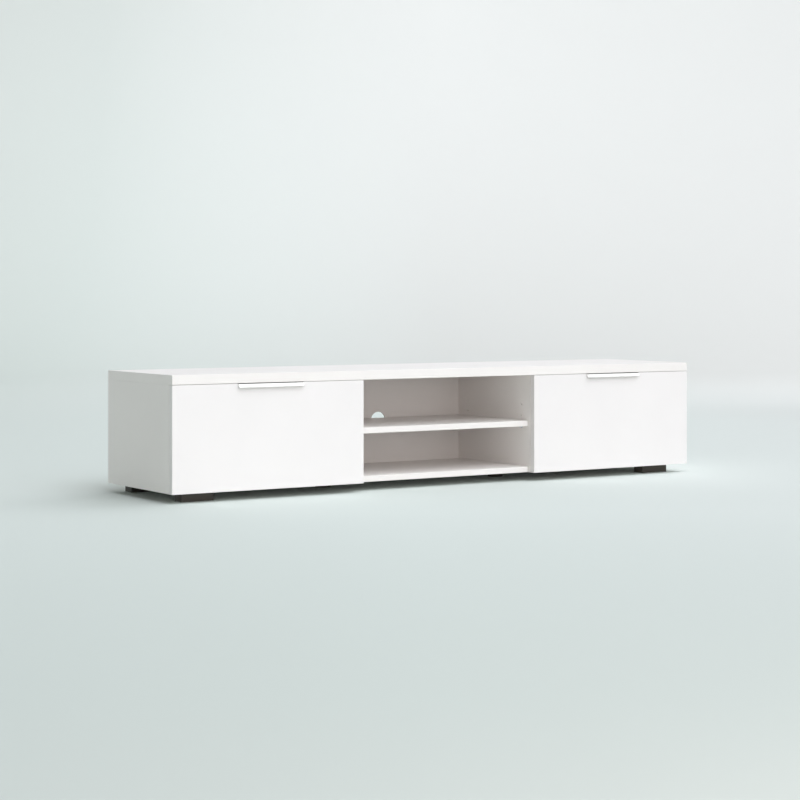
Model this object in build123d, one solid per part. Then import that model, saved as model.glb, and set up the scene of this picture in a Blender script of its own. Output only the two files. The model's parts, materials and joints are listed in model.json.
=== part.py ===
from build123d import *
import math
import os

# Long low tv stand: two drop-down doors either side of an open bay with one shelf.
# Row frame: X along the length, doors face -Y, Z up. Origin on the floor, at the centre
# of the bounding box. Millimetres.

# ---- Driving dimensions -------------------------------------------------------------
LENGTH = 1722.0
CARCASS_DEPTH = 388.0            # door fronts to rear edges
HANDLE_PROUD = 8.0               # the handle lips stand this far in front of the doors
FOOT_HEIGHT = 25.0
UPRIGHT_HEIGHT = 280.0
TOP_THICK = 25.0
BOARD = 16.0
DOOR_GAP = 2.0                   # behind the doors
DOOR_REVEAL = 1.0                # above the doors
EASE = 0.8                       # rounding of the banded edges

# ---- Planes worked out from them ----------------------------------------------------
HALF_LENGTH = LENGTH / 2
BAY_WIDTH = LENGTH / 3
DOOR_FRONT = HANDLE_PROUD - (CARCASS_DEPTH + HANDLE_PROUD) / 2
DOOR_BACK = DOOR_FRONT + BOARD
CARCASS_FRONT = DOOR_BACK + DOOR_GAP
REAR = DOOR_FRONT + CARCASS_DEPTH
BOTTOM = FOOT_HEIGHT
BASE_TOP = BOTTOM + BOARD
TOP_UNDERSIDE = BOTTOM + UPRIGHT_HEIGHT
SIDE_INNER = HALF_LENGTH - BOARD
PARTITION_INNER = BAY_WIDTH / 2
PARTITION_OUTER = PARTITION_INNER + BOARD

# ---- Centre bay ---------------------------------------------------------------------
CENTRE_RECESS = 13.0             # shelf and centre base stand back from the carcass edges
SHELF_BOTTOM = BOTTOM + UPRIGHT_HEIGHT / 2 - BOARD / 2
SHELF_REAR_GAP = 3.0
SHELF_SIDE_GAP = 0.5
CABLE_HOLE_RADIUS = 25.0
CABLE_HOLE_Z = BOTTOM + UPRIGHT_HEIGHT / 2

# ---- Back panels, held in grooves ---------------------------------------------------
BACK_THICK = 3.0
BACK_INSET = 4.0                 # rear edges to the outside of the back panels
GROOVE_DEPTH = 5.0
GROOVE_SLACK = 0.2
BACK_FRONT = REAR - BACK_INSET - BACK_THICK

# ---- Feet ---------------------------------------------------------------------------
FOOT_LENGTH = 93.0
FOOT_DEPTH = 40.0
FOOT_END_INSET = 47.0
FOOT_FRONT_INSET = 40.0
FOOT_REAR_INSET = 8.0
FOOT_SCREW_SPREAD = 25.0
SUPPORT_FOOT_RADIUS = 25.0
SUPPORT_FOOT_DRAFT = 3.0

# ---- Board fittings -----------------------------------------------------------------
CAM_RADIUS = 7.5
CAM_DEPTH = 12.5
CAM_SLOT_WIDTH = 1.5
CAM_SLOT_DEPTH = 1.25
CAM_SETBACK = 24.0               # joint face to cam centre
BOLT_RADIUS = 2.5
BOLT_HEAD_RADIUS = 3.5
BOLT_HEAD_LENGTH = 3.0
BOLT_THREAD = 11.0
DOWEL_RADIUS = 4.0
DOWEL_CHAMFER = 0.8
DOWEL_IN_FACE = 11.0
DOWEL_IN_EDGE = 19.0
FIT = 0.05                       # radial clearance round pins, screws and dowels
OUTER_CAM_INSET = 50.0
INNER_CAM_INSET = 114.0          # centre bay fittings miss those of the outer bays
DOWEL_PITCH = 32.0

# ---- Shelf pins ---------------------------------------------------------------------
PIN_RADIUS = 2.5
PIN_IN_BOARD = 8.0
PIN_PROUD = 9.0
PIN_FLANGE_RADIUS = 4.5
PIN_FLANGE_THICK = 1.2
PIN_ROW_PITCH = 32.0
PIN_HOLES_PER_ROW = 3
PIN_FRONT_INSET = 42.0
PIN_REAR_INSET = 50.0

# ---- Screws -------------------------------------------------------------------------
SCREW_RADIUS = 1.75
SCREW_LENGTH = 13.0
SCREW_HEAD_RADIUS = 3.5
SCREW_HEAD_HEIGHT = 1.9
SCREW_TIP = 0.25                 # tip and slot, as a share of the radius they are in
FOOT_SCREW_RADIUS = 2.0
FOOT_SCREW_LENGTH = 27.0
FOOT_SCREW_HEAD_RADIUS = 4.0
FOOT_SCREW_HEAD_HEIGHT = 2.8
FOOT_SCREW_ROOM = 1.0            # round the head, inside a foot
FOOT_SCREW_SEAT = 10.0           # height of the seat inside a foot
CLEARANCE_HOLE = 0.35            # screw hole in a fitting, over the screw's radius

# ---- Doors and their hinge axis -----------------------------------------------------
DOOR_WIDTH = BAY_WIDTH
DOOR_HEIGHT = UPRIGHT_HEIGHT - DOOR_REVEAL
DOOR_HEEL_RADIUS = 1.5           # lower rear edge, which swings past the base panel
OPEN_STEP = 6.0                  # open door lies this far below the base panel's top
AXIS_IN_DOOR = BOARD - (BOARD - OPEN_STEP) / 2
AXIS_Y = DOOR_FRONT + AXIS_IN_DOOR
AXIS_Z = BOTTOM + (BOARD - OPEN_STEP) / 2
INNER_SKIN = BOARD - AXIS_IN_DOOR  # hinge axis to the door's inner face
HINGE_SPREAD = 200.0             # each side of the door's centre

# ---- Handles ------------------------------------------------------------------------
HANDLE_LENGTH = 195.0
HANDLE_SHEET = 1.5
HANDLE_SET_DOWN = 1.0            # the strip's top lies this far below the door's top edge
HANDLE_TOP = BOTTOM + DOOR_HEIGHT - HANDLE_SET_DOWN
LIP_DROP = 9.5
HANDLE_BEND = 1.2                # outer radius of its two bends
HANDLE_TIP_RADIUS = 0.375        # long edges of its two ends
HANDLE_TAIL = 22.0               # height of the strip behind the door
HANDLE_SCREW_SPREAD = 80.0

# ---- Hinges -------------------------------------------------------------------------
HINGE_PIN_RADIUS = 2.0
CHEEK_INNER = 8.3
CHEEK_OUTER = 11.3
CHEEK_RADIUS = 4.2
CHEEK_FRONT = 3.0
POCKET_HALF_WIDTH = 11.8
POCKET_FRONT = 5.0
POCKET_TOP = 17.0
LEAF_THICK = 1.5
LEAF_HALF_WIDTH = 24.0
LEAF_LOW = 16.0
LEAF_HIGH = 34.0
LEAF_SCREW_SPREAD = 17.0
CHEEK_TOP = 20.0
ARM_HALF_WIDTH = 8.0
ARM_THICK = 2.4
ARM_PLATE_HALF_WIDTH = 12.0
ARM_PLATE_THICK = 2.0
ARM_PLATE_START = 9.0            # behind the hinge axis
ARM_PLATE_END = 51.0
ARM_ELBOW = 5.6
KNUCKLE_RADIUS = 3.6
ARM_SCREWS = (22.0, 42.0)

# ---- Flap stays: a bar pivoted on the door slides through a swivel on the side panel ----
# Both pivots lie on one circle about the hinge axis, so the bar turns half the door's angle.
STAY_RADIUS = 170.0
STAY_GUIDE_ANGLE = 47.0          # from the vertical, behind the hinge axis
STAY_PIVOT_DEPTH = 14.0          # behind the hinge axis, door closed
BAR_WIDTH = 10.0
BAR_THICK = 2.0
BAR_OFFSET = 5.8                 # side panel to the bar's near face
GAP = 0.3                        # between pieces that slide past each other
STAY_PIN_RADIUS = 2.5
STAY_STOP_RADIUS = 3.5
STAY_STOP_HEIGHT = 1.6
GUIDE_LENGTH = 26.0
GUIDE_HEIGHT = 18.0
GUIDE_PLATE_THICK = 2.0
GUIDE_PLATE_WIDTH = 28.0
GUIDE_PLATE_HEIGHT = 46.0
GUIDE_SCREW_SPREAD = 17.0
GUIDE_STUD_RADIUS = 4.0
GUIDE_STUD_HEAD_RADIUS = 6.0
GUIDE_STUD_HEAD = 0.7
GUIDE_FLOOR = 2.2
GUIDE_COVER = 2.0
BRACKET_HEIGHT = 30.0
BRACKET_WIDTH = 26.0
BRACKET_SCREW_INSET = 15.6       # from the ear's near face to the screws
BRACKET_EAR = 1.8
BRACKET_EAR_HEIGHT = 18.0
BRACKET_SCREW_SPREAD = 8.5

# ---- Catches and bumpers ------------------------------------------------------------
CATCH_INSET = 42.0               # partition to the catch's centre
CATCH_HALF_WIDTH = 16.0
CATCH_DEPTH = 16.0
CATCH_HEIGHT = 14.0
CATCH_FLANGE = 9.0
CATCH_FLANGE_THICK = 2.5
MAGNET_HALF_WIDTH = 12.0
MAGNET_DEPTH = 6.0
MAGNET_HEIGHT = 8.0
STRIKE_HALF_WIDTH = 29.0
STRIKE_THICK = 1.4
STRIKE_HEIGHT = 14.0
STRIKE_SCREW_SPREAD = 23.0
STRIKE_TOP_INSET = 2.5
BUMPER_RADIUS = 4.5
BUMPER_THICK = 1.6
BUMPER_TOP_INSET = 17.0

NODES = {}
CUTS = {}


def add(node, *solids):
    """Put solids in a node."""
    NODES.setdefault(node, []).extend(solids)


def cut(node, *solids):
    """Note solids to take out of a node when it is written."""
    CUTS.setdefault(node, []).extend(solids)


def slab(x_low, x_high, y_low, y_high, z_low, z_high):
    """Box between six planes."""
    centre = Pos((x_low + x_high) / 2, (y_low + y_high) / 2, (z_low + z_high) / 2)
    return centre * Box(x_high - x_low, y_high - y_low, z_high - z_low)


def rod(start, direction, radius, length):
    """Cylinder from a point along a direction."""
    place = Plane(origin=start, z_dir=direction)
    return place.location * Cylinder(radius, length, align=(Align.CENTER, Align.CENTER, Align.MIN))


def fused(first, *others):
    """One solid from touching pieces."""
    for other in others:
        first = first + other
    return first.solid()


def eased(board, edges, radius=EASE):
    """Board with a rounded set of edges."""
    return fillet(edges, radius).solid() if edges else board


def front_edges(board):
    return board.edges().group_by(Axis.Y)[0]


def extruded_x(outline, x_low, x_high):
    """Closed outline of (y, z) points, pushed along X."""
    face = make_face(Polyline([(0, y, z) for y, z in outline], close=True))
    solid = extrude(face, amount=x_high - x_low, dir=(1, 0, 0))
    return Pos(x_low, 0, 0) * solid


def screw(seat, direction, radius=SCREW_RADIUS, length=SCREW_LENGTH,
          head_radius=SCREW_HEAD_RADIUS, head_height=SCREW_HEAD_HEIGHT):
    """Pan-head screw with a cross recess; the seat is the underside of its head."""
    head = Pos(0, 0, -head_height / 2) * Cylinder(head_radius, head_height)
    head = eased(head, head.edges().group_by(Axis.Z)[0], head_height / 2)
    shank = rod((0, 0, 0), (0, 0, 1), radius, length - radius)
    tip = Pos(0, 0, length - radius / 2) * Cone(radius, radius * SCREW_TIP, radius)
    slot = Box(head_radius, head_radius * SCREW_TIP, head_height)
    body = fused(head, shank, tip)
    for turn in (0, 90):
        body = body - Pos(0, 0, -head_height) * Rot(0, 0, turn) * slot
    return Plane(origin=seat, z_dir=direction).location * body.solid()


def screw_hole(seat, direction, depth, radius=SCREW_RADIUS):
    """Pilot hole for a screw, from its seat."""
    return rod(seat, direction, radius + FIT, depth + FIT)


def cam_lock():
    """Cam: its mouth is at z = 0, its axis goes up, and the bolt comes in along +X."""
    body = rod((0, 0, 0), (0, 0, 1), CAM_RADIUS, CAM_DEPTH)
    bolt_path = rod((-BOLT_HEAD_LENGTH, 0, BOARD / 2), (1, 0, 0),
                    BOLT_HEAD_RADIUS + FIT, CAM_RADIUS + BOLT_HEAD_LENGTH)
    body = body - bolt_path
    for turn in (0, 90):
        body = body - Rot(0, 0, turn) * Box(CAM_RADIUS, CAM_SLOT_WIDTH, 2 * CAM_SLOT_DEPTH)
    return body.solid()


def cam_bolt():
    """Bolt along +X: the thread lies at x < 0, and the head ends in the cam's centre."""
    thread = rod((-BOLT_THREAD, 0, 0), (1, 0, 0), BOLT_RADIUS, BOLT_THREAD)
    shank = rod((0, 0, 0), (1, 0, 0), BOLT_RADIUS, CAM_SETBACK - BOLT_HEAD_LENGTH)
    head = rod((CAM_SETBACK - BOLT_HEAD_LENGTH, 0, 0), (1, 0, 0), BOLT_HEAD_RADIUS, BOLT_HEAD_LENGTH)
    return fused(thread, shank, head)


def cam_joint(into_edge, into_face, joint, inward, cam_mouth):
    """Cam and bolt between the edge of one board and the face of another.

    joint is the bolt's place on the joint face, inward points into the edge's board, and
    cam_mouth is the outward normal of the face that the cam is let into.
    """
    joint, inward, cam_mouth = Vector(joint), Vector(inward), Vector(cam_mouth)
    cam_place = Plane(origin=joint + inward * CAM_SETBACK + cam_mouth * (BOARD / 2),
                      x_dir=-inward, z_dir=-cam_mouth)
    bolt_place = Plane(origin=joint, x_dir=inward, z_dir=cam_mouth)
    add("cam_locks", cam_place.location * cam_lock())
    add("cam_bolts", bolt_place.location * cam_bolt())
    cut(into_edge,
        cam_place.location * rod((0, 0, -FIT), (0, 0, 1), CAM_RADIUS + FIT, CAM_DEPTH + 2 * FIT),
        rod(joint - inward * FIT, inward, BOLT_HEAD_RADIUS + FIT, CAM_SETBACK))
    cut(into_face, rod(joint, -inward, BOLT_RADIUS + FIT, BOLT_THREAD + FIT))


def dowel_joint(into_edge, into_face, joint, inward):
    """Wooden dowel between the edge of one board and the face of another."""
    joint, inward = Vector(joint), Vector(inward)
    start = joint - inward * DOWEL_IN_FACE
    dowel = rod(start, inward, DOWEL_RADIUS, DOWEL_IN_FACE + DOWEL_IN_EDGE)
    add("dowels", chamfer(dowel.edges().filter_by(GeomType.CIRCLE), DOWEL_CHAMFER).solid())
    cut(into_face, rod(joint, -inward, DOWEL_RADIUS + FIT, DOWEL_IN_FACE + FIT))
    cut(into_edge, rod(joint, inward, DOWEL_RADIUS + FIT, DOWEL_IN_EDGE + FIT))


def base_joints(base, upright, joint_x, inward_x, cam_inset):
    """Two cams and two dowels between a base panel's end and an upright."""
    middle = BOTTOM + BOARD / 2
    for edge_y, step in ((CARCASS_FRONT, 1), (REAR, -1)):
        cam_y = edge_y + step * cam_inset
        cam_joint(base, upright, (joint_x, cam_y, middle), (inward_x, 0, 0), (0, 0, -1))
        dowel_y = cam_y + step * DOWEL_PITCH
        dowel_joint(base, upright, (joint_x, dowel_y, middle), (inward_x, 0, 0))


def top_joints(upright, centre_x, cam_side):
    """Two cams and two dowels between an upright's top edge and the top panel."""
    for edge_y, step in ((CARCASS_FRONT, 1), (REAR, -1)):
        cam_y = edge_y + step * OUTER_CAM_INSET
        joint = (centre_x, cam_y, TOP_UNDERSIDE)
        cam_joint(upright, "top_panel", joint, (0, 0, -1), (cam_side, 0, 0))
        joint = (centre_x, cam_y + step * DOWEL_PITCH, TOP_UNDERSIDE)
        dowel_joint(upright, "top_panel", joint, (0, 0, -1))


def groove(x_low, x_high, z_low, z_high):
    """Groove for a back panel, wide enough for its thickness and a little slack."""
    return slab(x_low, x_high, BACK_FRONT - GROOVE_SLACK, BACK_FRONT + BACK_THICK + GROOVE_SLACK,
                z_low, z_high)


def make_top():
    board = slab(-HALF_LENGTH, HALF_LENGTH, DOOR_FRONT, REAR, TOP_UNDERSIDE, TOP_UNDERSIDE + TOP_THICK)
    add("top_panel", eased(board, board.edges()))
    reach = SIDE_INNER + GROOVE_DEPTH
    cut("top_panel", groove(-reach, reach, TOP_UNDERSIDE, TOP_UNDERSIDE + GROOVE_DEPTH))


def make_uprights():
    for side, sign in (("left", -1), ("right", 1)):
        side_x = sorted((sign * HALF_LENGTH, sign * SIDE_INNER))
        board = slab(*side_x, CARCASS_FRONT, REAR, BOTTOM, TOP_UNDERSIDE)
        add("side_panel_" + side, eased(board, board.edges()))
        groove_x = sorted((sign * SIDE_INNER, sign * (SIDE_INNER + GROOVE_DEPTH)))
        cut("side_panel_" + side, groove(*groove_x, BASE_TOP - GROOVE_DEPTH, TOP_UNDERSIDE))
        top_joints("side_panel_" + side, sign * (HALF_LENGTH - BOARD / 2), -sign)

        partition_x = sorted((sign * PARTITION_INNER, sign * PARTITION_OUTER))
        board = slab(*partition_x, CARCASS_FRONT, REAR, BOTTOM, TOP_UNDERSIDE)
        add("partition_" + side, eased(board, front_edges(board)))
        for face_x, into in ((PARTITION_INNER, 1), (PARTITION_OUTER, -1)):
            groove_x = sorted((sign * face_x, sign * (face_x + into * GROOVE_DEPTH)))
            cut("partition_" + side, groove(*groove_x, BASE_TOP - GROOVE_DEPTH, TOP_UNDERSIDE))
        top_joints("partition_" + side, sign * (PARTITION_INNER + BOARD / 2), sign)


def make_bases():
    board = slab(-PARTITION_INNER, PARTITION_INNER, CARCASS_FRONT + CENTRE_RECESS, REAR, BOTTOM, BASE_TOP)
    add("base_panel_centre", eased(board, front_edges(board)))
    cut("base_panel_centre", groove(-PARTITION_INNER, PARTITION_INNER, BASE_TOP - GROOVE_DEPTH, BASE_TOP))
    for side, sign in (("left", -1), ("right", 1)):
        base = "base_panel_" + side
        ends = sorted((sign * SIDE_INNER, sign * PARTITION_OUTER))
        board = slab(*ends, CARCASS_FRONT, REAR, BOTTOM, BASE_TOP)
        add(base, eased(board, front_edges(board)))
        cut(base, groove(*ends, BASE_TOP - GROOVE_DEPTH, BASE_TOP))
        base_joints(base, "side_panel_" + side, sign * SIDE_INNER, -sign, OUTER_CAM_INSET)
        base_joints(base, "partition_" + side, sign * PARTITION_OUTER, sign, OUTER_CAM_INSET)
        base_joints("base_panel_centre", "partition_" + side, sign * PARTITION_INNER, -sign,
                    INNER_CAM_INSET)


def make_shelf():
    """Centre shelf on four pins, with spare holes above them."""
    half = PARTITION_INNER - SHELF_SIDE_GAP
    board = slab(-half, half, CARCASS_FRONT + CENTRE_RECESS, BACK_FRONT - SHELF_REAR_GAP,
                 SHELF_BOTTOM, SHELF_BOTTOM + BOARD)
    add("centre_shelf", eased(board, board.edges()))
    pin_z = SHELF_BOTTOM - PIN_RADIUS
    for side, sign in (("left", -1), ("right", 1)):
        for pin_y in (CARCASS_FRONT + PIN_FRONT_INSET, BACK_FRONT - PIN_REAR_INSET):
            wall = (sign * PARTITION_INNER, pin_y, pin_z)
            inside = Vector(-sign, 0, 0)
            add("shelf_pins", fused(
                rod(Vector(wall) - inside * PIN_IN_BOARD, inside, PIN_RADIUS, PIN_IN_BOARD + PIN_PROUD),
                rod(wall, inside, PIN_FLANGE_RADIUS, PIN_FLANGE_THICK)
                & slab(-HALF_LENGTH, HALF_LENGTH, DOOR_FRONT, REAR, BOTTOM, SHELF_BOTTOM)))
            for level in range(PIN_HOLES_PER_ROW):
                mouth = Vector(wall) + Vector(0, 0, level * PIN_ROW_PITCH)
                cut("partition_" + side, rod(mouth, -inside, PIN_RADIUS + FIT, PIN_IN_BOARD + FIT))


def make_backs():
    reach = GROOVE_DEPTH - 2 * GROOVE_SLACK
    bays = (("left", -SIDE_INNER, -PARTITION_OUTER), ("centre", -PARTITION_INNER, PARTITION_INNER),
            ("right", PARTITION_OUTER, SIDE_INNER))
    for bay, x_low, x_high in bays:
        add("back_panel_" + bay, slab(x_low - reach, x_high + reach, BACK_FRONT, BACK_FRONT + BACK_THICK,
                                      BASE_TOP - reach, TOP_UNDERSIDE + reach))
    cut("back_panel_centre", rod((0, BACK_FRONT - BACK_THICK, CABLE_HOLE_Z), (0, 1, 0),
                                 CABLE_HOLE_RADIUS, 3 * BACK_THICK))


def foot_screw(foot, board, x, y):
    """Screw up through a foot into the board above it."""
    seat = (x, y, FOOT_SCREW_SEAT)
    add("foot_screws", screw(seat, (0, 0, 1), FOOT_SCREW_RADIUS, FOOT_SCREW_LENGTH,
                             FOOT_SCREW_HEAD_RADIUS, FOOT_SCREW_HEAD_HEIGHT))
    cut(foot, screw_hole(seat, (0, 0, 1), FOOT_SCREW_LENGTH, FOOT_SCREW_RADIUS),
        rod((x, y, -FIT), (0, 0, 1), FOOT_SCREW_HEAD_RADIUS + FOOT_SCREW_ROOM,
            FOOT_SCREW_SEAT + FIT))
    cut(board, screw_hole(seat, (0, 0, 1), FOOT_SCREW_LENGTH, FOOT_SCREW_RADIUS))


def make_feet():
    for side, sign in (("left", -1), ("right", 1)):
        outer = sign * (HALF_LENGTH - FOOT_END_INSET)
        foot_x = sorted((outer, outer - sign * FOOT_LENGTH))
        for row, y_low in (("front", DOOR_FRONT + FOOT_FRONT_INSET),
                           ("rear", REAR - FOOT_REAR_INSET - FOOT_DEPTH)):
            foot = "foot_" + row + "_" + side
            block = slab(*foot_x, y_low, y_low + FOOT_DEPTH, 0, FOOT_HEIGHT)
            add(foot, eased(block, block.edges().filter_by(Axis.Z) + block.edges().group_by(Axis.Z)[0]))
            for spread in (-FOOT_SCREW_SPREAD, FOOT_SCREW_SPREAD):
                foot_screw(foot, "base_panel_" + side, sum(foot_x) / 2 + spread, y_low + FOOT_DEPTH / 2)
        support_x = sign * (PARTITION_INNER + BOARD / 2)
        support_y = (CARCASS_FRONT + REAR) / 2
        foot = Pos(support_x, support_y, FOOT_HEIGHT / 2) * Cone(
            SUPPORT_FOOT_RADIUS - SUPPORT_FOOT_DRAFT, SUPPORT_FOOT_RADIUS, FOOT_HEIGHT)
        add("centre_support_feet", foot)
        foot_screw("centre_support_feet", "partition_" + side, support_x, support_y)


def handle_outline():
    """Bent strip, as (y, z): up the door's back, over its edge and down into a sloping lip."""
    edge_floor = HANDLE_TOP - HANDLE_SHEET
    tip_y = DOOR_FRONT - HANDLE_PROUD
    bend_y = DOOR_FRONT - HANDLE_BEND
    run, drop = tip_y - bend_y, -LIP_DROP
    scale = HANDLE_SHEET / math.hypot(run, drop)
    inner_tip = (tip_y - drop * scale, HANDLE_TOP + drop + run * scale)
    turn = math.atan2(-drop, -run)
    inner_bend = (bend_y + HANDLE_SHEET * math.tan(turn / 2), edge_floor)
    return [(DOOR_BACK, HANDLE_TOP - HANDLE_TAIL), (DOOR_BACK, edge_floor), inner_bend, inner_tip,
            (tip_y, HANDLE_TOP + drop), (bend_y, HANDLE_TOP), (DOOR_BACK + HANDLE_SHEET, HANDLE_TOP),
            (DOOR_BACK + HANDLE_SHEET, HANDLE_TOP - HANDLE_TAIL)]


def make_handle(place, centre_x):
    node = place + "_door_handle"
    half = HANDLE_LENGTH / 2
    strip = extruded_x(handle_outline(), centre_x - half, centre_x + half)
    ends = strip.edges().filter_by(Axis.X)
    tips = ends.group_by(Axis.Y)[0] + ends.group_by(Axis.Z)[0]
    strip = eased(strip, tips, HANDLE_TIP_RADIUS)
    bends = strip.edges().filter_by(Axis.X).group_by(Axis.Z)[-1]
    add(node, eased(strip, bends, HANDLE_BEND))
    cut(place + "_door_panel", slab(centre_x - half, centre_x + half, DOOR_FRONT - BOARD, REAR,
                                    HANDLE_TOP - HANDLE_SHEET, HANDLE_TOP + BOARD))
    for spread in (-HANDLE_SCREW_SPREAD, 0, HANDLE_SCREW_SPREAD):
        seat = (centre_x + spread, DOOR_BACK + HANDLE_SHEET, HANDLE_TOP - HANDLE_TAIL / 2)
        door_screw(place, node, seat)


def door_screw(place, fitting, seat, fitting_side=-1):
    """Screw through a fitting into the inner face of a door."""
    toward = (0, fitting_side, 0)
    add(place + "_door_screws", screw(seat, toward))
    cut(fitting, screw_hole(seat, toward, BOARD, SCREW_RADIUS + CLEARANCE_HOLE))
    cut(place + "_door_panel", screw_hole(seat, toward, SCREW_LENGTH))


def make_door(place, x_low, x_high):
    board = slab(x_low, x_high, DOOR_FRONT, DOOR_BACK, BOTTOM, BOTTOM + DOOR_HEIGHT)
    heel = board.edges().filter_by(Axis.X).group_by(Axis.Z)[0].sort_by(Axis.Y)[-1]
    board = eased(board, [heel], DOOR_HEEL_RADIUS)
    add(place + "_door_panel", eased(board, front_edges(board)))
    bumper_z = BOTTOM + DOOR_HEIGHT - BUMPER_TOP_INSET
    for edge_x, step in ((x_low, 1), (x_high, -1)):
        pad = rod((edge_x + step * BOARD / 2, DOOR_BACK, bumper_z), (0, 1, 0), BUMPER_RADIUS, BUMPER_THICK)
        add(place + "_door_bumpers", eased(pad, pad.edges().group_by(Axis.Y)[-1], BUMPER_THICK / 2))


def make_hinge(place, centre_x):
    """Flap hinge: a cheeked leaf let into the door and a cranked arm on the base panel."""
    axis_start = (centre_x - CHEEK_OUTER, AXIS_Y, AXIS_Z)
    cut(place + "_door_panel", slab(centre_x - POCKET_HALF_WIDTH, centre_x + POCKET_HALF_WIDTH,
                                    AXIS_Y - POCKET_FRONT, DOOR_BACK + BOARD,
                                    BOTTOM - BOARD, AXIS_Z + POCKET_TOP))
    leaf = slab(centre_x - LEAF_HALF_WIDTH, centre_x + LEAF_HALF_WIDTH, DOOR_BACK, DOOR_BACK + LEAF_THICK,
                AXIS_Z + LEAF_LOW, AXIS_Z + LEAF_HIGH)
    for low, high in ((-CHEEK_OUTER, -CHEEK_INNER), (CHEEK_INNER, CHEEK_OUTER)):
        cheek = fused(
            rod((centre_x + low, AXIS_Y, AXIS_Z), (1, 0, 0), CHEEK_RADIUS, high - low),
            slab(centre_x + low, centre_x + high, AXIS_Y - CHEEK_FRONT, DOOR_BACK, AXIS_Z,
                 AXIS_Z + LEAF_LOW),
            slab(centre_x + low, centre_x + high, DOOR_BACK - CHEEK_FRONT, DOOR_BACK, AXIS_Z,
                 AXIS_Z + POCKET_TOP))
        leaf = fused(leaf, cheek)
    add(place + "_hinge_leaves", leaf - rod(axis_start, (1, 0, 0), HINGE_PIN_RADIUS, 2 * CHEEK_OUTER))
    add(place + "_hinge_pins", rod(axis_start, (1, 0, 0), HINGE_PIN_RADIUS, 2 * CHEEK_OUTER))
    for spread in (-LEAF_SCREW_SPREAD, LEAF_SCREW_SPREAD):
        seat = (centre_x + spread, DOOR_BACK + LEAF_THICK, AXIS_Z + (LEAF_LOW + LEAF_HIGH) / 2)
        door_screw(place, place + "_hinge_leaves", seat)

    elbow = (AXIS_Y + ARM_ELBOW, BASE_TOP + ARM_THICK / 2)
    length = math.hypot(ARM_ELBOW, elbow[1] - AXIS_Z)
    across = ((elbow[1] - AXIS_Z) / length * ARM_THICK / 2, -ARM_ELBOW / length * ARM_THICK / 2)
    crank = [(AXIS_Y - across[0], AXIS_Z - across[1]), (AXIS_Y + across[0], AXIS_Z + across[1]),
             (elbow[0] + across[0], elbow[1] + across[1]), (elbow[0] - across[0], elbow[1] - across[1])]
    arm = fused(
        slab(centre_x - ARM_PLATE_HALF_WIDTH, centre_x + ARM_PLATE_HALF_WIDTH,
             AXIS_Y + ARM_PLATE_START, AXIS_Y + ARM_PLATE_END, BASE_TOP, BASE_TOP + ARM_PLATE_THICK),
        slab(centre_x - ARM_HALF_WIDTH, centre_x + ARM_HALF_WIDTH,
             elbow[0], AXIS_Y + ARM_PLATE_START + ARM_THICK, BASE_TOP, BASE_TOP + ARM_THICK),
        rod((centre_x - ARM_HALF_WIDTH, *elbow), (1, 0, 0), ARM_THICK / 2, 2 * ARM_HALF_WIDTH),
        extruded_x(crank, centre_x - ARM_HALF_WIDTH, centre_x + ARM_HALF_WIDTH),
        rod((centre_x - ARM_HALF_WIDTH, AXIS_Y, AXIS_Z), (1, 0, 0), KNUCKLE_RADIUS, 2 * ARM_HALF_WIDTH))
    arm = arm - rod(axis_start, (1, 0, 0), HINGE_PIN_RADIUS + FIT, 2 * CHEEK_OUTER)
    add(place + "_hinge_arms", arm.solid())
    for behind in ARM_SCREWS:
        seat = (centre_x, AXIS_Y + behind, BASE_TOP + ARM_PLATE_THICK)
        carcass_screw(place + "_hinge_arms", "base_panel_" + place, seat, (0, 0, -1))


def carcass_screw(fitting, board, seat, direction):
    """Screw through a fitting into a board of the carcass."""
    add("carcass_fitting_screws", screw(seat, direction))
    cut(fitting, screw_hole(seat, direction, BOARD, SCREW_RADIUS + CLEARANCE_HOLE))
    cut(board, screw_hole(seat, direction, SCREW_LENGTH))


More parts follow.
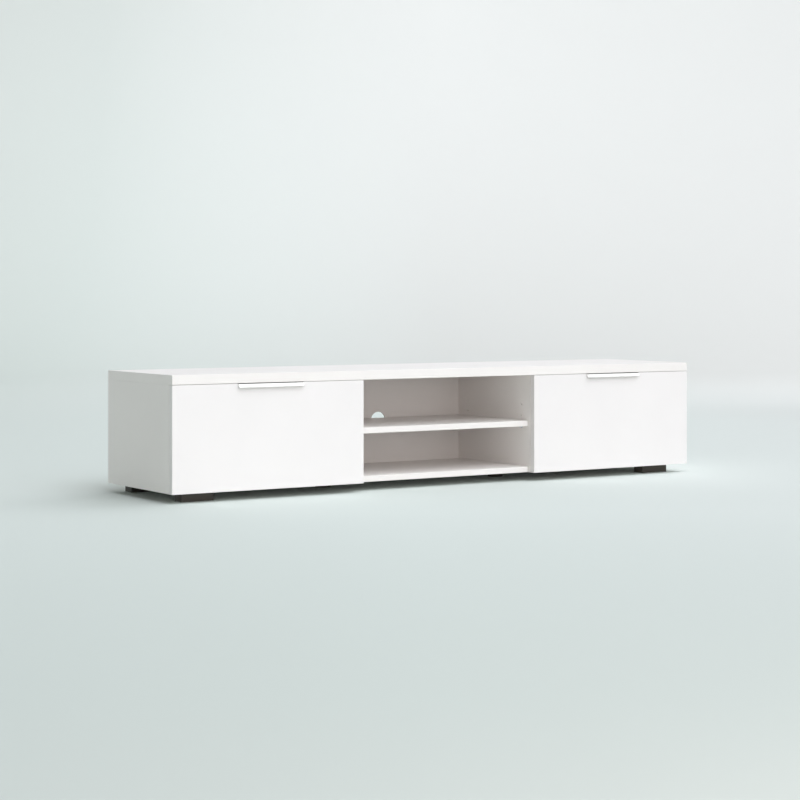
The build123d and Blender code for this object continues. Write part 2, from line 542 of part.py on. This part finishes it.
def make_stay(place, sign):
    """Flap stay beside one side panel; sign is the side of the stand that it is on."""
    guide_turn = math.radians(STAY_GUIDE_ANGLE)
    guide_y = AXIS_Y + STAY_RADIUS * math.sin(guide_turn)
    guide_z = AXIS_Z + STAY_RADIUS * math.cos(guide_turn)
    pivot_y = AXIS_Y + STAY_PIVOT_DEPTH
    pivot_z = AXIS_Z + math.sqrt(STAY_RADIUS ** 2 - STAY_PIVOT_DEPTH ** 2)
    slope = math.degrees(math.atan2(guide_z - pivot_z, guide_y - pivot_y))
    pivot_turn = math.atan2(STAY_PIVOT_DEPTH, pivot_z - AXIS_Z)
    open_chord = 2 * STAY_RADIUS * math.sin((guide_turn - pivot_turn + math.pi / 2) / 2)
    bar_length = open_chord + GUIDE_LENGTH / 2 + STAY_STOP_RADIUS + GAP

    def inward(*layers):
        """Two X planes at given distances from the side panel's inner face, low one first."""
        return sorted(sign * (SIDE_INNER - layer) for layer in layers)

    def pivot_rod(y, z, near, far, radius):
        low, high = inward(near, far)
        return rod((low, y, z), (1, 0, 0), radius, high - low)

    bar_far = BAR_OFFSET + BAR_THICK
    ear_near = bar_far + GAP
    ear_far = ear_near + BRACKET_EAR

    # Bar, drawn along +Y from its pivot, then tilted into line with the swivel.
    low, high = inward(BAR_OFFSET, bar_far)
    bar = fused(slab(low, high, 0, bar_length, -BAR_WIDTH / 2, BAR_WIDTH / 2),
                rod((low, 0, 0), (1, 0, 0), BAR_WIDTH / 2, BAR_THICK),
                rod((low, bar_length, 0), (1, 0, 0), BAR_WIDTH / 2, BAR_THICK))
    low, high = inward(BAR_OFFSET, bar_far + STAY_STOP_HEIGHT)
    bar = fused(bar, rod((low, bar_length, 0), (1, 0, 0), STAY_STOP_RADIUS, high - low))
    bar = Pos(0, pivot_y, pivot_z) * Rot(slope, 0, 0) * bar
    bar = bar - pivot_rod(pivot_y, pivot_z, 0, ear_far, STAY_PIN_RADIUS + FIT)
    add(place + "_stay_bar", bar.solid())

    # Bracket and rivet on the door.
    low, high = inward(ear_near, ear_near + BRACKET_WIDTH)
    plate = slab(low, high, DOOR_BACK, DOOR_BACK + LEAF_THICK,
                 pivot_z - BRACKET_HEIGHT / 2, pivot_z + BRACKET_HEIGHT / 2)
    low, high = inward(ear_near, ear_far)
    ear = fused(
        slab(low, high, DOOR_BACK, pivot_y, pivot_z - BRACKET_EAR_HEIGHT / 2,
             pivot_z + BRACKET_EAR_HEIGHT / 2),
        rod((low, pivot_y, pivot_z), (1, 0, 0), BRACKET_EAR_HEIGHT / 2 - EASE, BRACKET_EAR))
    bracket = fused(plate, ear) - pivot_rod(pivot_y, pivot_z, 0, BRACKET_WIDTH, STAY_PIN_RADIUS)
    add(place + "_stay_bracket", bracket.solid())
    add(place + "_stay_rivet", fused(
        pivot_rod(pivot_y, pivot_z, BAR_OFFSET - GAP, ear_far + EASE, STAY_PIN_RADIUS),
        pivot_rod(pivot_y, pivot_z, BAR_OFFSET - GAP - EASE, BAR_OFFSET - GAP, BAR_WIDTH / 2 - EASE),
        pivot_rod(pivot_y, pivot_z, ear_far, ear_far + EASE, STAY_PIN_RADIUS + EASE)))
    for spread in (-BRACKET_SCREW_SPREAD, BRACKET_SCREW_SPREAD):
        seat = (sign * (SIDE_INNER - ear_near - BRACKET_SCREW_INSET), DOOR_BACK + LEAF_THICK,
                pivot_z + spread)
        door_screw(place, place + "_stay_bracket", seat)

    # Swivel guide on the side panel: the plate's stud has a head inside the guide.
    floor_near = GUIDE_PLATE_THICK + GAP
    floor_far = floor_near + GUIDE_FLOOR
    head_near = floor_far + GAP
    head_far = head_near + GUIDE_STUD_HEAD
    low, high = inward(0, GUIDE_PLATE_THICK)
    plate = slab(low, high, guide_y - GUIDE_PLATE_WIDTH / 2, guide_y + GUIDE_PLATE_WIDTH / 2,
                 guide_z - GUIDE_PLATE_HEIGHT / 2, guide_z + GUIDE_PLATE_HEIGHT / 2)
    add(place + "_stay_guide_plate", fused(
        eased(plate, plate.edges().filter_by(Axis.X), GUIDE_STUD_RADIUS),
        pivot_rod(guide_y, guide_z, GUIDE_PLATE_THICK, head_far, GUIDE_STUD_RADIUS),
        pivot_rod(guide_y, guide_z, head_near, head_far, GUIDE_STUD_HEAD_RADIUS)))
    cover_far = bar_far + GAP + GUIDE_COVER
    low, high = inward(floor_near, cover_far)
    block = slab(low, high, -GUIDE_LENGTH / 2, GUIDE_LENGTH / 2, -GUIDE_HEIGHT / 2, GUIDE_HEIGHT / 2)
    block = eased(block, block.edges().filter_by(Axis.X), 2 * EASE)
    low, high = inward(BAR_OFFSET - GAP, bar_far + GAP)
    block = block - slab(low, high, -GUIDE_LENGTH, GUIDE_LENGTH,
                         -BAR_WIDTH / 2 - GAP, BAR_WIDTH / 2 + GAP)
    block = Pos(0, guide_y, guide_z) * Rot(slope, 0, 0) * block
    block = block - pivot_rod(guide_y, guide_z, 0, floor_far + FIT, GUIDE_STUD_RADIUS + FIT)
    block = block - pivot_rod(guide_y, guide_z, floor_far, BAR_OFFSET, GUIDE_STUD_HEAD_RADIUS + GAP)
    add(place + "_stay_guide", block.solid())
    for spread in (-GUIDE_SCREW_SPREAD, GUIDE_SCREW_SPREAD):
        seat = (sign * (SIDE_INNER - GUIDE_PLATE_THICK), guide_y, guide_z + spread)
        carcass_screw(place + "_stay_guide_plate", "side_panel_" + place, seat, (sign, 0, 0))


def make_catch(place, centre_x):
    """Magnetic catch under the top panel and its strike plate on the door."""
    strike_high = BOTTOM + DOOR_HEIGHT - STRIKE_TOP_INSET
    strike = slab(centre_x - STRIKE_HALF_WIDTH, centre_x + STRIKE_HALF_WIDTH,
                  DOOR_BACK, DOOR_BACK + STRIKE_THICK, strike_high - STRIKE_HEIGHT, strike_high)
    add(place + "_strike_plate", eased(strike, strike.edges().filter_by(Axis.Y), 2 * EASE))
    for spread in (-STRIKE_SCREW_SPREAD, STRIKE_SCREW_SPREAD):
        seat = (centre_x + spread, DOOR_BACK + STRIKE_THICK, strike_high - STRIKE_HEIGHT / 2)
        door_screw(place, place + "_strike_plate", seat)

    front = DOOR_BACK + STRIKE_THICK + GAP
    low_z = TOP_UNDERSIDE - CATCH_HEIGHT
    body = slab(centre_x - CATCH_HALF_WIDTH, centre_x + CATCH_HALF_WIDTH,
                front + GAP, front + CATCH_DEPTH, low_z, TOP_UNDERSIDE)
    body = eased(body, body.edges().group_by(Axis.Z)[0])
    reach = CATCH_HALF_WIDTH + CATCH_FLANGE
    flange = slab(centre_x - reach, centre_x + reach, front + 2 * GAP, front + CATCH_DEPTH - GAP,
                  TOP_UNDERSIDE - CATCH_FLANGE_THICK, TOP_UNDERSIDE)
    flange = eased(flange, flange.edges().filter_by(Axis.Z), 2 * EASE)
    magnet_z = low_z + (CATCH_HEIGHT - CATCH_FLANGE_THICK) / 2
    magnet = slab(centre_x - MAGNET_HALF_WIDTH, centre_x + MAGNET_HALF_WIDTH, front,
                  front + MAGNET_DEPTH, magnet_z - MAGNET_HEIGHT / 2, magnet_z + MAGNET_HEIGHT / 2)
    add(place + "_catch_magnet", magnet)
    add(place + "_catch_housing", fused(body, flange))
    cut(place + "_catch_housing", magnet)
    for spread in (-1, 1):
        seat = (centre_x + spread * (CATCH_HALF_WIDTH + CATCH_FLANGE / 2), front + CATCH_DEPTH / 2,
                TOP_UNDERSIDE - CATCH_FLANGE_THICK)
        carcass_screw(place + "_catch_housing", "top_panel", seat, (0, 0, 1))


def make_flap(place, sign):
    """One door with everything that hangs on it and the fittings that carry it."""
    x_low, x_high = sorted((sign * HALF_LENGTH, sign * PARTITION_INNER))
    centre_x = (x_low + x_high) / 2
    make_door(place, x_low, x_high)
    make_handle(place, centre_x)
    for spread in (-HINGE_SPREAD, HINGE_SPREAD):
        make_hinge(place, centre_x + spread)
    make_stay(place, sign)
    make_catch(place, sign * (PARTITION_OUTER + CATCH_INSET))


def write_nodes():
    os.makedirs("parts", exist_ok=True)
    for node, solids in NODES.items():
        tools = CUTS.get(node)
        kept = []
        for solid in solids:
            trimmed = solid.cut(*tools) if tools else solid
            kept.extend(trimmed.solids())
        shape = kept[0] if len(kept) == 1 else Compound(kept)
        shape.label = node
        export_step(shape, os.path.join("parts", node + ".step"))


make_top()
make_uprights()
make_bases()
make_shelf()
make_backs()
make_feet()
make_flap("left", -1)
make_flap("right", 1)
write_nodes()
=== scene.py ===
"""Looks for the tv stand with doors: materials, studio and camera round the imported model."""

import json
import math

import bmesh
import bpy
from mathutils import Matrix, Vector


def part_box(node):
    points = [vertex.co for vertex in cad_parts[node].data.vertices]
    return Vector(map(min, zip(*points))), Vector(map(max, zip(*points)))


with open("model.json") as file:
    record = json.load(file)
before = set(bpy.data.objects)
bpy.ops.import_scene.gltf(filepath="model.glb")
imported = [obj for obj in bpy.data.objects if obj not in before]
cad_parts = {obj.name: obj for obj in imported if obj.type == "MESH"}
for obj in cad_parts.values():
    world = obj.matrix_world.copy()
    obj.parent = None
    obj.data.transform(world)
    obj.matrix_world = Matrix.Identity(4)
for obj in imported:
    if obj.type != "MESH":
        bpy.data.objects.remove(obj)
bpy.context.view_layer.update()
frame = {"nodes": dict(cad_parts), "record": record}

MM = 0.001

# ---- Camera -------------------------------------------------------------------------
CAMERA_PLACE = (-3.120, -4.7426, 0.5392)
CAMERA_YAW = -32.94
CAMERA_LENS = 89.3
CAMERA_SHIFT = -0.1337
CAMERA_SENSOR = 36.0

# ---- Colours, linear ----------------------------------------------------------------
WHITE = (0.925, 0.880, 0.852)
# Painted shade: the board white, made darker on the doors to tone down their strongly lit fronts.
DOOR_WHITE_SHADED = (0.903, 0.862, 0.850)
# Floor and wall tones carry painted light and shade: darker to the left and near the camera, lighter to the
# right and up the wall.
FLOOR_LEFT_SHADED = (0.56, 0.60, 0.565)
FLOOR_MIDDLE = (0.725, 0.785, 0.75)
FLOOR_RIGHT = (0.79, 0.80, 0.78)
FLOOR_NEAR_SHADED = (0.475, 0.53, 0.50)
WALL_LOW = (0.685, 0.69, 0.665)
WALL_RIGHT = (0.765, 0.765, 0.74)
WALL_HIGH_LIT = (0.965, 0.96, 0.94)
LIGHT_TINT = (0.955, 0.985, 1.03)
LEFT_TINT = (1.0, 0.88, 0.84)
CHIP_LIGHT = (0.60, 0.44, 0.28)
CHIP_DARK = (0.30, 0.19, 0.10)
HARDBOARD = (0.36, 0.235, 0.135)
FEET_BROWN = (0.060, 0.050, 0.040)
ALUMINIUM = (0.68, 0.675, 0.64)
ZINC = (0.74, 0.75, 0.78)
DIE_CAST = (0.68, 0.67, 0.65)
GREY_PLASTIC = (0.11, 0.115, 0.12)
WHITE_PLASTIC = (0.78, 0.78, 0.75)
FERRITE = (0.035, 0.035, 0.038)
SILICONE = (0.80, 0.82, 0.82)
BEECH = (0.60, 0.40, 0.22)

EDGE_BAND = 0.9 * MM             # thickness of the edge banding on the boards
BAND_LINE = 0.06 * MM            # half the width of the line where it meets the board's face
CUT_DEPTH = 1.0 * MM             # surfaces deeper than this inside a board are sawn or drilled


# ---- Node helpers -------------------------------------------------------------------
def new_material(name):
    """Material with its node tree and its Principled shader."""
    material = bpy.data.materials.new(name)
    material.use_nodes = True
    tree = material.node_tree
    return material, tree, tree.nodes["Principled BSDF"]


def object_coordinates(tree, scale=(1, 1, 1), shift=(0, 0, 0)):
    """Object coordinates, stretched and shifted."""
    coordinates = tree.nodes.new("ShaderNodeTexCoord")
    mapping = tree.nodes.new("ShaderNodeMapping")
    mapping.inputs["Scale"].default_value = scale
    mapping.inputs["Location"].default_value = shift
    tree.links.new(coordinates.outputs["Object"], mapping.inputs["Vector"])
    return mapping.outputs["Vector"]


def noise(tree, vector, scale, detail=2.0, roughness=0.5):
    texture = tree.nodes.new("ShaderNodeTexNoise")
    texture.inputs["Scale"].default_value = scale
    texture.inputs["Detail"].default_value = detail
    texture.inputs["Roughness"].default_value = roughness
    tree.links.new(vector, texture.inputs["Vector"])
    return texture.outputs["Fac"]


def ramp(tree, value, low, high, start=0.3, end=0.7):
    """Colours from low to high as value goes from start to end."""
    node = tree.nodes.new("ShaderNodeValToRGB")
    node.color_ramp.elements[0].position = start
    node.color_ramp.elements[0].color = (*low, 1)
    node.color_ramp.elements[1].position = end
    node.color_ramp.elements[1].color = (*high, 1)
    tree.links.new(value, node.inputs["Fac"])
    return node.outputs["Color"]


def remapped(tree, value, start, end, low=0.0, high=1.0):
    """Value from start..end spread over low..high, and held beyond them."""
    node = tree.nodes.new("ShaderNodeMapRange")
    node.inputs["From Min"].default_value = start
    node.inputs["From Max"].default_value = end
    node.inputs["To Min"].default_value = low
    node.inputs["To Max"].default_value = high
    tree.links.new(value, node.inputs["Value"])
    return node.outputs["Result"]


def spread(tree, value, low, high):
    """Noise, which lies mostly in 0.3..0.7, spread over low..high."""
    return remapped(tree, value, 0.3, 0.7, low, high)


def calc(tree, operation, first, second=0.0):
    """Math node on two sockets or numbers."""
    node = tree.nodes.new("ShaderNodeMath")
    node.operation = operation
    for socket, value in zip(node.inputs, (first, second)):
        if isinstance(value, (int, float)):
            socket.default_value = value
        else:
            tree.links.new(value, socket)
    return node.outputs["Value"]


def tinted(tree, colour, factor, tint):
    """Colour moved towards a tint by a factor that varies over the surface."""
    node = tree.nodes.new("ShaderNodeMix")
    node.data_type = "RGBA"
    tree.links.new(factor, node.inputs["Factor"])
    tree.links.new(colour, node.inputs["A"])
    node.inputs["B"].default_value = (*tint, 1)
    return node.outputs["Result"]


def bump(tree, shader, *layers):
    """Chain of bumps, each a (height, distance, strength)."""
    normal = None
    for height, distance, strength in layers:
        node = tree.nodes.new("ShaderNodeBump")
        node.inputs["Distance"].default_value = distance
        node.inputs["Strength"].default_value = strength
        tree.links.new(height, node.inputs["Height"])
        if normal is not None:
            tree.links.new(normal, node.inputs["Normal"])
        normal = node.outputs["Normal"]
    tree.links.new(normal, shader.inputs["Normal"])


def scaled(colour, factor):
    return tuple(channel * factor for channel in colour)


# ---- Materials ----------------------------------------------------------------------
def band_line(tree, low, high, across):
    """1 along the joint between a board's face and its edge banding, else 0."""
    separate = tree.nodes.new("ShaderNodeSeparateXYZ")
    tree.links.new(object_coordinates(tree), separate.inputs["Vector"])
    line = None
    for axis, name in enumerate("XYZ"):
        if axis == across:
            continue
        middle = (low[axis] + high[axis]) / 2
        to_joint = (high[axis] - low[axis]) / 2 - EDGE_BAND
        from_middle = calc(tree, "ABSOLUTE", calc(tree, "SUBTRACT", separate.outputs[name], middle))
        from_joint = calc(tree, "ABSOLUTE", calc(tree, "SUBTRACT", from_middle, to_joint))
        hit = calc(tree, "LESS_THAN", from_joint, BAND_LINE)
        line = hit if line is None else calc(tree, "MAXIMUM", line, hit)
    return line


def melamine(name, colour, low, high, seed):
    """Satin melamine: pearl texture, slight cloudiness, uneven sheen and a fine banding joint."""
    material, tree, shader = new_material(name)
    across = min(range(3), key=lambda axis: high[axis] - low[axis])
    vector = object_coordinates(tree, shift=(seed * 1.7, seed * 0.9, seed * 2.3))
    cloud = noise(tree, vector, 5.0, 3.0)
    speck = noise(tree, vector, 700.0, 1.0)
    white = ramp(tree, cloud, scaled(colour, 0.985), scaled(colour, 1.01))
    white = tinted(tree, white, calc(tree, "GREATER_THAN", speck, 0.74), scaled(colour, 0.95))
    line = band_line(tree, low, high, across)
    white = tinted(tree, white, calc(tree, "MULTIPLY", line, 0.35), scaled(colour, 0.55))
    tree.links.new(white, shader.inputs["Base Color"])
    smear = noise(tree, vector, 22.0, 4.0, 0.6)
    tree.links.new(spread(tree, smear, 0.36, 0.46), shader.inputs["Roughness"])
    pearl = noise(tree, vector, 1100.0, 2.0)
    sag = noise(tree, vector, 9.0, 1.0)
    bump(tree, shader, (sag, 0.15 * MM, 0.25), (pearl, 0.02 * MM, 0.35))
    return material


def particle_board():
    """Sawn or drilled particle board: glued chips, each of its own tone."""
    material, tree, shader = new_material("particle_board")
    vector = object_coordinates(tree, scale=(1.0, 1.0, 1.6))
    chips = tree.nodes.new("ShaderNodeTexVoronoi")
    chips.inputs["Scale"].default_value = 420.0
    chips.inputs["Randomness"].default_value = 1.0
    tree.links.new(vector, chips.inputs["Vector"])
    colour = ramp(tree, chips.outputs["Color"], CHIP_DARK, CHIP_LIGHT, 0.1, 0.9)
    tree.links.new(colour, shader.inputs["Base Color"])
    shader.inputs["Roughness"].default_value = 0.85
    bump(tree, shader, (chips.outputs["Distance"], 0.4 * MM, 0.8))
    return material


def hardboard():
    """Raw side of the thin back panels: brown pressed fibres with a fine screen texture."""
    material, tree, shader = new_material("hardboard_rear")
    vector = object_coordinates(tree)
    fibres = noise(tree, object_coordinates(tree, scale=(1.0, 1.0, 0.35)), 260.0, 5.0, 0.65)
    cloud = noise(tree, vector, 7.0, 3.0)
    colour = ramp(tree, fibres, scaled(HARDBOARD, 0.72), scaled(HARDBOARD, 1.25))
    colour = tinted(tree, colour, calc(tree, "MULTIPLY", cloud, 0.35), scaled(HARDBOARD, 1.15))
    tree.links.new(colour, shader.inputs["Base Color"])
    shader.inputs["Roughness"].default_value = 0.72
    bump(tree, shader, (fibres, 0.12 * MM, 0.6))
    return material


def satin_aluminium():
    """Anodised aluminium with fine drawn lines along X."""
    material, tree, shader = new_material("satin_aluminium")
    lines = noise(tree, object_coordinates(tree, scale=(6.0, 1500.0, 1500.0)), 1.0, 3.0, 0.7)
    cloud = noise(tree, object_coordinates(tree), 30.0, 2.0)
    colour = ramp(tree, lines, scaled(ALUMINIUM, 0.95), scaled(ALUMINIUM, 1.02))
    tree.links.new(colour, shader.inputs["Base Color"])
    shader.inputs["Metallic"].default_value = 1.0
    tree.links.new(spread(tree, cloud, 0.34, 0.42), shader.inputs["Roughness"])
    bump(tree, shader, (lines, 0.01 * MM, 0.5))
    return material


def plated(name, colour, rough_low, rough_high, grain, depth):
    """Plated steel or die casting: grain, faint tarnish and uneven polish."""
    material, tree, shader = new_material(name)
    vector = object_coordinates(tree)
    fine = noise(tree, vector, grain, 3.0)
    cloud = noise(tree, vector, 60.0, 3.0)
    tone = ramp(tree, cloud, scaled(colour, 0.90), scaled(colour, 1.04))
    tree.links.new(tone, shader.inputs["Base Color"])
    shader.inputs["Metallic"].default_value = 1.0
    tree.links.new(spread(tree, fine, rough_low, rough_high), shader.inputs["Roughness"])
    bump(tree, shader, (fine, depth, 0.5))
    return material


def moulded(name, colour, roughness, grain=900.0, depth=0.03 * MM):
    """Moulded plastic or rubber with a fine spark-eroded grain and slightly paler high spots."""
    material, tree, shader = new_material(name)
    vector = object_coordinates(tree)
    fine = noise(tree, vector, grain, 2.0)
    cloud = noise(tree, vector, 40.0, 3.0)
    tone = ramp(tree, cloud, scaled(colour, 0.88), scaled(colour, 1.10))
    tone = tinted(tree, tone, calc(tree, "GREATER_THAN", fine, 0.64), scaled(colour, 1.25))
    tree.links.new(tone, shader.inputs["Base Color"])
    tree.links.new(spread(tree, cloud, roughness - 0.05, roughness + 0.05), shader.inputs["Roughness"])
    bump(tree, shader, (fine, depth, 0.6))
    return material


def wood(name, colour):
    """Straight-grained beech."""
    material, tree, shader = new_material(name)
    grain = noise(tree, object_coordinates(tree, scale=(1, 12, 12)), 90.0, 4.0)
    tree.links.new(ramp(tree, grain, scaled(colour, 0.8), scaled(colour, 1.1)), shader.inputs["Base Color"])
    shader.inputs["Roughness"].default_value = 0.6
    bump(tree, shader, (grain, 0.05 * MM, 0.5))
    return material


SHARED = {
    "handle_metal": satin_aluminium(),
    "dark_feet": moulded("dark_feet", FEET_BROWN, 0.55),
    "zinc_plated_steel": plated("zinc_plated_steel", ZINC, 0.22, 0.36, 500.0, 0.01 * MM),
    "zinc_die_cast": plated("zinc_die_cast", DIE_CAST, 0.30, 0.44, 1200.0, 0.02 * MM),
    "grey_plastic": moulded("grey_plastic", GREY_PLASTIC, 0.42),
    "white_plastic": moulded("white_plastic", WHITE_PLASTIC, 0.40),
    "magnet": moulded("magnet", FERRITE, 0.50, 1500.0),
    "clear_bumper": moulded("clear_bumper", SILICONE, 0.25),
    "beech": wood("beech", BEECH),
}
RAW_BOARD = particle_board()
RAW_HARDBOARD = hardboard()
# The doors' white carries painted shade; the other boards take the plain board white.
BOARD_WHITES = {"white_board": WHITE, "white_door_board": DOOR_WHITE_SHADED, "white_back_board": WHITE}


def paint_cut_faces(node, low, high):
    """Give a board's drilled, grooved and pocketed faces the raw board's material."""
    mesh = node.data
    mesh.materials.append(RAW_BOARD)
    for face in mesh.polygons:
        depth = min(min(face.center[axis] - low[axis], high[axis] - face.center[axis])
                    for axis in range(3))
        if depth > CUT_DEPTH:
            face.material_index = 1


def paint_rear_face(node):
    """Give a back panel's outside and its sawn edges the raw hardboard."""
    mesh = node.data
    mesh.materials.append(RAW_HARDBOARD)
    for face in mesh.polygons:
        if face.normal.y > -0.5:
            face.material_index = 1


def dress_nodes():
    """Give every CAD node the material of its slot."""
    slots = {part["node"]: part["material_slot"] for part in frame["record"]["subparts"]}
    for seed, (name, node) in enumerate(sorted(frame["nodes"].items())):
        slot = slots[name]
        node.data.materials.clear()
        if slot in SHARED:
            node.data.materials.append(SHARED[slot])
        else:
            low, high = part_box(name)
            node.data.materials.append(melamine("melamine_" + name, BOARD_WHITES[slot], low, high, seed))
            if slot == "white_back_board":
                paint_rear_face(node)
            elif not name.startswith("partition"):  # whose shelf-pin holes stay white inside
                paint_cut_faces(node, low, high)


# ---- Studio -------------------------------------------------------------------------
STUDIO_RADIUS = 7.5              # of the flat floor
STUDIO_COVE = 3.0                # radius of the curve from the floor into the wall
STUDIO_TOP = 4.0
STUDIO_COVE_STEPS = 16
STUDIO_TURN_STEPS = 96
WALL_START = 3.0                 # from here outwards the floor's painted light and shade turns into the wall's
STUDIO_GRADE = 3.2               # the painted light and shade across the floor, darker left and lighter right, spans this far to either side
STUDIO_NEAR = (0.8, 5.2)         # distance towards the camera over which painted shade darkens the paper
STUDIO_RIGHT_HALF = (-2.4, 0.3)  # distance to the right over which the low wall's painted shade comes in
STUDIO_RIGHT_END = (0.2, 3.2)    # and the right end's painted light
HIGH_WALL_SHARE = (0.35, 0.55)   # of the high wall's painted light: everywhere, and more in the right half
PAPER_CLOUD = 0.03


def along(tree, direction, start, end):
    """0 to 1 from start to end along a direction."""
    product = tree.nodes.new("ShaderNodeVectorMath")
    product.operation = "DOT_PRODUCT"
    tree.links.new(object_coordinates(tree), product.inputs[0])
    product.inputs[1].default_value = direction
    return remapped(tree, product.outputs["Value"], start, end)


def far_out(tree):
    """0 to 1 over the outer part of the floor."""
    length = tree.nodes.new("ShaderNodeVectorMath")
    length.operation = "LENGTH"
    tree.links.new(object_coordinates(tree), length.inputs[0])
    return remapped(tree, length.outputs["Value"], WALL_START, STUDIO_RADIUS)


def studio_paper_painted_light():
    """Pale paper with painted light and shade: darker to the left and towards the camera, lighter to the
    right and up the wall.
    """
    material, tree, shader = new_material("studio_paper_painted_light")
    turn = math.radians(CAMERA_YAW)
    right = (math.cos(turn), math.sin(turn), 0)
    nearer = (math.sin(turn), -math.cos(turn), 0)
    # Painted light and shade across the floor: darker to the left, lighter to the right.
    paper = ramp(tree, along(tree, right, -STUDIO_GRADE, STUDIO_GRADE), FLOOR_LEFT_SHADED, FLOOR_RIGHT, 0.0, 1.0)
    middle = paper.node.color_ramp.elements.new(0.5)
    middle.color = (*FLOOR_MIDDLE, 1)
    cloud = noise(tree, object_coordinates(tree), 0.6, 2.0)
    paper = tinted(tree, paper, calc(tree, "MULTIPLY", cloud, PAPER_CLOUD), FLOOR_RIGHT)
    # Painted shade, darker towards the camera.
    paper = tinted(tree, paper, along(tree, nearer, *STUDIO_NEAR), FLOOR_NEAR_SHADED)
    outside = far_out(tree)
    right_half = along(tree, right, *STUDIO_RIGHT_HALF)
    right_end = along(tree, right, *STUDIO_RIGHT_END)
    # Painted light and shade on the cove and wall: darker low on the right, lighter at the right end and
    # higher up.
    paper = tinted(tree, paper, calc(tree, "MULTIPLY", outside, right_half), WALL_LOW)
    paper = tinted(tree, paper, calc(tree, "MULTIPLY", outside, right_end), WALL_RIGHT)
    everywhere, more = HIGH_WALL_SHARE
    share = calc(tree, "ADD", calc(tree, "MULTIPLY", right_half, more), everywhere)
    height = along(tree, (0, 0, 1), 0.0, STUDIO_COVE)
    paper = tinted(tree, paper, calc(tree, "MULTIPLY", height, share), WALL_HIGH_LIT)
    tree.links.new(paper, shader.inputs["Base Color"])
    shader.inputs["Roughness"].default_value = 0.9
    shader.inputs["Specular IOR Level"].default_value = 0.2
    return material


def make_studio():
    """Floor that curves up into a round wall, as one lathed surface."""
    profile = [(0.0, 0.0), (STUDIO_RADIUS * 0.5, 0.0), (STUDIO_RADIUS, 0.0)]
    for step in range(1, STUDIO_COVE_STEPS + 1):
        turn = math.pi / 2 * step / STUDIO_COVE_STEPS
        profile.append((STUDIO_RADIUS + STUDIO_COVE * math.sin(turn),
                        STUDIO_COVE * (1 - math.cos(turn))))
    profile.append((STUDIO_RADIUS + STUDIO_COVE, STUDIO_TOP))
    work = bmesh.new()
    points = [work.verts.new((radius, 0, height)) for radius, height in profile]
    edges = [work.edges.new(pair) for pair in zip(points, points[1:])]
    bmesh.ops.spin(work, geom=points + edges, cent=(0, 0, 0), axis=(0, 0, 1),
                   angle=math.tau, steps=STUDIO_TURN_STEPS, use_merge=True)
    bmesh.ops.remove_doubles(work, verts=work.verts, dist=1e-4)
    bmesh.ops.recalc_face_normals(work, faces=work.faces)
    mesh = bpy.data.meshes.new("studio")
    work.to_mesh(mesh)
    work.free()
    for face in mesh.polygons:
        face.use_smooth = True
    studio = bpy.data.objects.new("studio", mesh)
    bpy.context.scene.collection.objects.link(studio)
    mesh.materials.append(studio_paper_painted_light())


# ---- Lights -------------------------------------------------------------------------
PANEL_SPREAD = 50.0              # degrees across, seen from the stand
WORLD_STRENGTH = 0.04
SKY_PANELS = {                   # direction, strength, tint
    "front_high": ((0.0, -0.5, 0.87), 1.50, LIGHT_TINT),
    "right_high": ((0.7, -0.1, 0.7), 1.05, LIGHT_TINT),
    "front_low": ((0.1, -0.9, 0.4), 1.24, LIGHT_TINT),
    "right_rear": ((0.6, 0.5, 0.6), 0.60, LIGHT_TINT),
    "left_front": ((-0.7, -0.5, 0.5), 0.06, LEFT_TINT),
}
SOFTBOXES = {                    # place, target, width, height, watts, tint
    "wall_wash": ((5.6, 0.8, 3.2), (8.0, 7.2, 3.4), 3.5, 2.0, 82.0, LIGHT_TINT),
    "front_fill": ((0.8, -5.0, 0.9), (0.0, 0.0, 0.15), 3.0, 1.6, 11.5, LIGHT_TINT),
    "left_fill": ((-1.5, -4.5, 0.7), (0.0, 0.0, 0.15), 1.6, 1.0, 20.0, LEFT_TINT),
}


def area_light(name, place, target, width, height, power, tint):
    """Soft rectangular light aimed at a point."""
    data = bpy.data.lights.new(name, "AREA")
    data.shape = "RECTANGLE"
    data.size, data.size_y = width, height
    data.energy = power
    data.color = tint
    light = bpy.data.objects.new(name, data)
    light.location = place
    light.rotation_euler = (Vector(target) - Vector(place)).to_track_quat("-Z", "Y").to_euler()
    light.visible_camera = False
    bpy.context.scene.collection.objects.link(light)


def sky_panel(name, direction, strength, tint):
    """Very large soft light, far off in a direction above the studio's wall."""
    data = bpy.data.lights.new(name, "SUN")
    data.angle = math.radians(PANEL_SPREAD)
    data.energy = strength
    data.color = tint
    light = bpy.data.objects.new(name, data)
    light.rotation_euler = Vector(direction).to_track_quat("Z", "Y").to_euler()
    bpy.context.scene.collection.objects.link(light)


def make_lights():
    for name, (direction, strength, tint) in SKY_PANELS.items():
        sky_panel(name, direction, strength, tint)
    for name, (place, target, width, height, power, tint) in SOFTBOXES.items():
        area_light(name, place, target, width, height, power, tint)
    world = bpy.data.worlds.new("studio_air")
    world.use_nodes = True
    background = world.node_tree.nodes["Background"]
    background.inputs["Color"].default_value = (*FLOOR_RIGHT, 1)
    background.inputs["Strength"].default_value = WORLD_STRENGTH
    bpy.context.scene.world = world


# ---- Camera and making --------------------------------------------------------------
def make_camera():
    data = bpy.data.cameras.new("camera")
    data.lens = CAMERA_LENS
    data.sensor_width = CAMERA_SENSOR
    data.shift_y = CAMERA_SHIFT
    camera = bpy.data.objects.new("camera", data)
    camera.location = CAMERA_PLACE
    camera.rotation_euler = (math.radians(90), 0, math.radians(CAMERA_YAW))
    bpy.context.scene.collection.objects.link(camera)
    bpy.context.scene.camera = camera


make_camera()
dress_nodes()
make_studio()
make_lights()
bpy.context.scene.view_settings.view_transform = "Standard"
